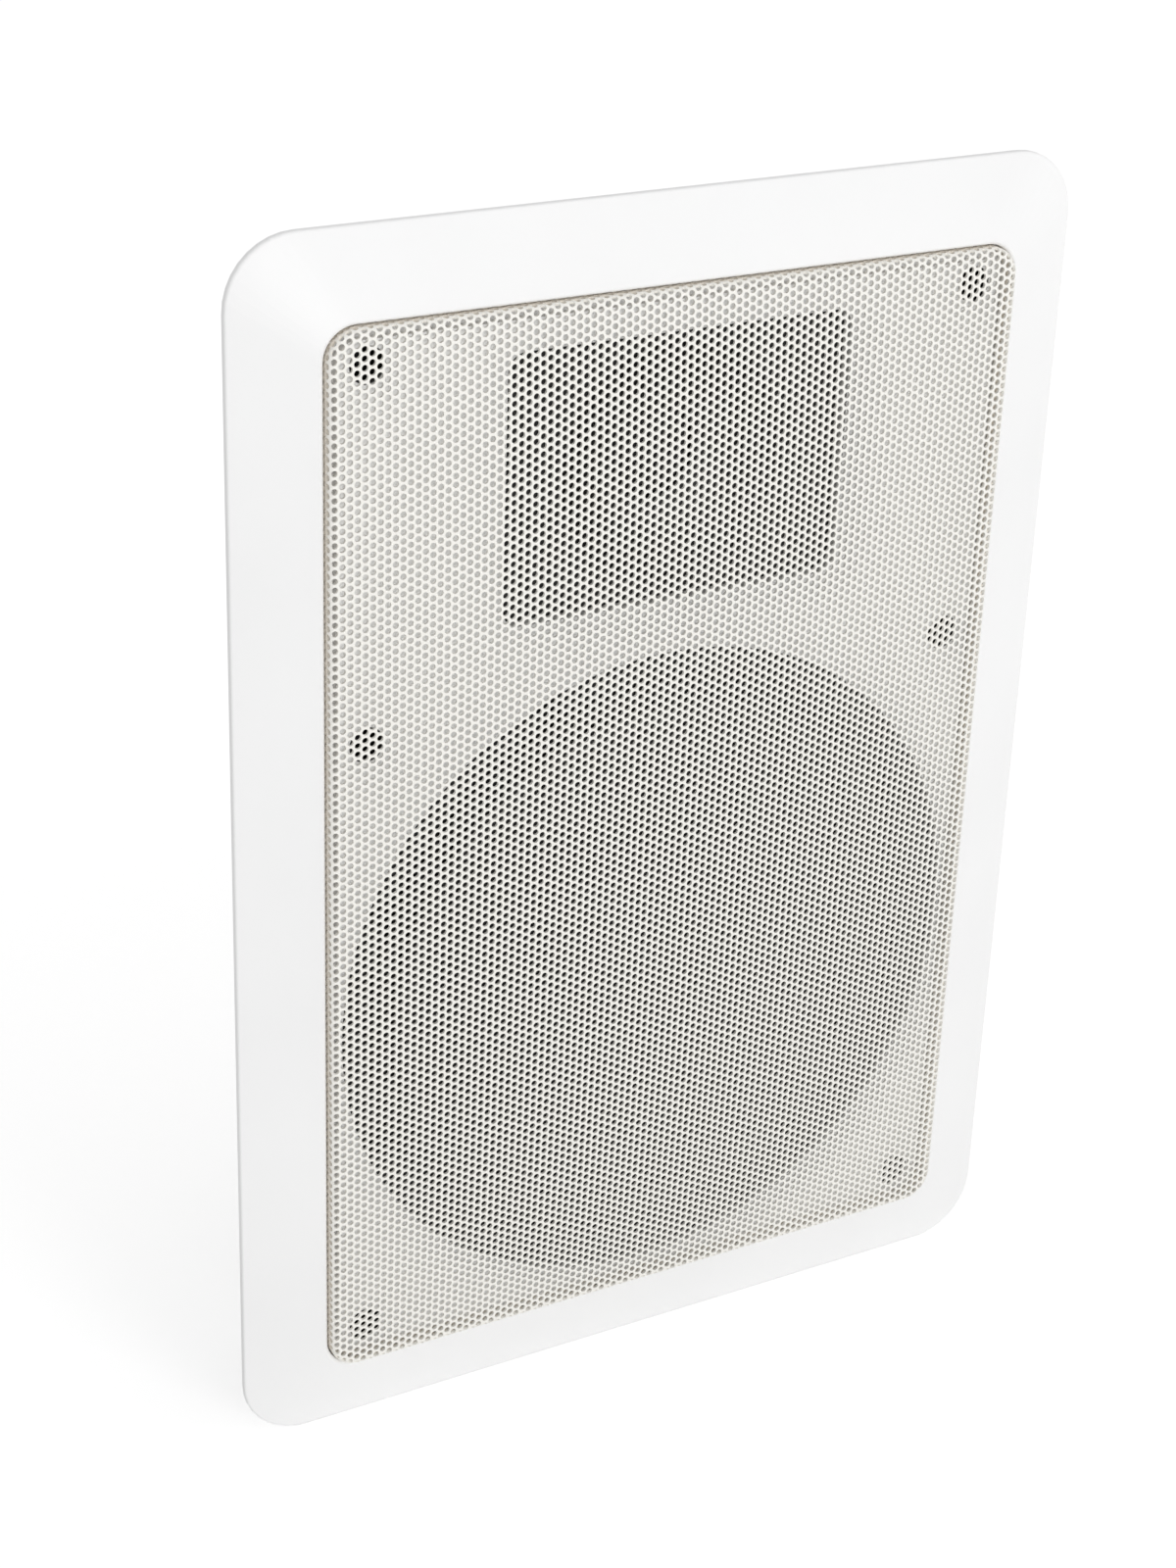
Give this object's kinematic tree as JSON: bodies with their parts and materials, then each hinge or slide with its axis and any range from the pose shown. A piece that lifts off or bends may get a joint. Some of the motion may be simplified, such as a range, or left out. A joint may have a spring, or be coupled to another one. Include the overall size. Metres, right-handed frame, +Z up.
{
  "type": "ceiling speaker",
  "caption": "Rectangular flush-mount loudspeaker with a sloping white frame, a crowned perforated grille, a woofer, a dome tweeter and swing-out clamps behind.",
  "frame": {"origin": "centre of the frame's rear rim, on the surface of the board that it is fixed to", "axes": "+X to the right seen from the room, +Z up the long side, +Y into the board, away from the room"},
  "size_m": [0.266, 0.0934, 0.371],
  "materials": {
    "white_abs": "moulded satin white",
    "white_grille_steel": "white powder coat",
    "black_basket_steel": "black paint",
    "black_foam": "closed-cell foam",
    "black_rubber": "butyl rubber",
    "cone_paper": "pressed paper pulp",
    "cap_paper": "pressed paper pulp",
    "former_kapton": "wound film",
    "copper_wire": "enamelled copper winding",
    "spider_cloth": "impregnated cloth",
    "zinc_steel": "zinc-plated",
    "ferrite": "ground ferrite",
    "tag_board": "phenolic board with tinned tags",
    "black_screw_steel": "black oxide",
    "black_abs": "moulded fine texture",
    "silk_dome": "coated cloth",
    "green_board": "solder mask",
    "capacitor_film": "film wrap",
    "resistor_ceramic": "cement block",
    "bright_screw_steel": "zinc-plated",
    "lead_red": "PVC insulation",
    "lead_blue": "PVC insulation",
    "brass_bush": "turned",
    "clamp_nylon": "moulded nylon"
  },
  "bodies": {
    "frame": {"front_frame": "white_abs", "clamp_guides": "white_abs", "grille": "white_grille_steel", "woofer_basket": "black_basket_steel", "woofer_gasket": "black_foam", "woofer_surround": "black_rubber", "woofer_spider": "spider_cloth", "top_plate": "zinc_steel", "ferrite_magnet": "ferrite", "woofer_yoke": "zinc_steel", "tag_strip": "tag_board", "woofer_screws": "black_screw_steel", "tweeter_faceplate": "black_abs", "tweeter_dome": "silk_dome", "tweeter_top_plate": "zinc_steel", "tweeter_magnet": "ferrite", "tweeter_yoke": "zinc_steel", "tweeter_screws": "black_screw_steel", "crossover_board": "green_board", "crossover_coil": "copper_wire", "crossover_capacitors": "capacitor_film", "crossover_resistor": "resistor_ceramic", "crossover_screws": "bright_screw_steel", "terminal_block": "black_abs", "terminal_screws": "bright_screw_steel", "woofer_leads": "lead_red", "tweeter_leads": "lead_blue", "clamp_screws": "black_screw_steel"},
    "cone": {"woofer_cone": "cone_paper", "dust_cap": "cap_paper", "coil_former": "former_kapton", "coil_winding": "copper_wire"},
    "bush_1": {"clamp_bush_1": "brass_bush"},
    "arm_1": {"clamp_arm_1": "clamp_nylon"},
    "bush_2": {"clamp_bush_2": "brass_bush"},
    "arm_2": {"clamp_arm_2": "clamp_nylon"},
    "bush_3": {"clamp_bush_3": "brass_bush"},
    "arm_3": {"clamp_arm_3": "clamp_nylon"},
    "bush_4": {"clamp_bush_4": "brass_bush"},
    "arm_4": {"clamp_arm_4": "clamp_nylon"},
    "bush_5": {"clamp_bush_5": "brass_bush"},
    "arm_5": {"clamp_arm_5": "clamp_nylon"},
    "bush_6": {"clamp_bush_6": "brass_bush"},
    "arm_6": {"clamp_arm_6": "clamp_nylon"}
  },
  "joints": [
    {"name": "cone_travel", "type": "slide", "parent": "frame", "child": "cone", "axis": [0, -1, 0], "range_m": [-0.0035, 0.0035], "stiffness_N_per_m": 2000, "deforming": ["woofer_surround", "woofer_spider"]},
    {"name": "clamp_travel_1", "type": "slide", "parent": "frame", "child": "bush_1", "axis": [0, -1, 0], "range_m": [0, 0.036]},
    {"name": "clamp_swing_1", "type": "hinge", "parent": "bush_1", "child": "arm_1", "pos_m": [-0.096, 0.04, 0.15], "axis": [0, 1, 0], "range_deg": [0, 90]},
    {"name": "clamp_travel_2", "type": "slide", "parent": "frame", "child": "bush_2", "axis": [0, -1, 0], "range_m": [0, 0.036]},
    {"name": "clamp_swing_2", "type": "hinge", "parent": "bush_2", "child": "arm_2", "pos_m": [0.096, 0.04, 0.15], "axis": [0, -1, 0], "range_deg": [0, 90]},
    {"name": "clamp_travel_3", "type": "slide", "parent": "frame", "child": "bush_3", "axis": [0, -1, 0], "range_m": [0, 0.036]},
    {"name": "clamp_swing_3", "type": "hinge", "parent": "bush_3", "child": "arm_3", "pos_m": [-0.096, 0.04, 0.042], "axis": [0, -1, 0], "range_deg": [0, 90]},
    {"name": "clamp_travel_4", "type": "slide", "parent": "frame", "child": "bush_4", "axis": [0, -1, 0], "range_m": [0, 0.036]},
    {"name": "clamp_swing_4", "type": "hinge", "parent": "bush_4", "child": "arm_4", "pos_m": [0.096, 0.04, 0.042], "axis": [0, 1, 0], "range_deg": [0, 90]},
    {"name": "clamp_travel_5", "type": "slide", "parent": "frame", "child": "bush_5", "axis": [0, -1, 0], "range_m": [0, 0.036]},
    {"name": "clamp_swing_5", "type": "hinge", "parent": "bush_5", "child": "arm_5", "pos_m": [-0.096, 0.04, -0.15], "axis": [0, -1, 0], "range_deg": [0, 90]},
    {"name": "clamp_travel_6", "type": "slide", "parent": "frame", "child": "bush_6", "axis": [0, -1, 0], "range_m": [0, 0.036]},
    {"name": "clamp_swing_6", "type": "hinge", "parent": "bush_6", "child": "arm_6", "pos_m": [0.096, 0.04, -0.15], "axis": [0, 1, 0], "range_deg": [0, 90]}
  ]
}
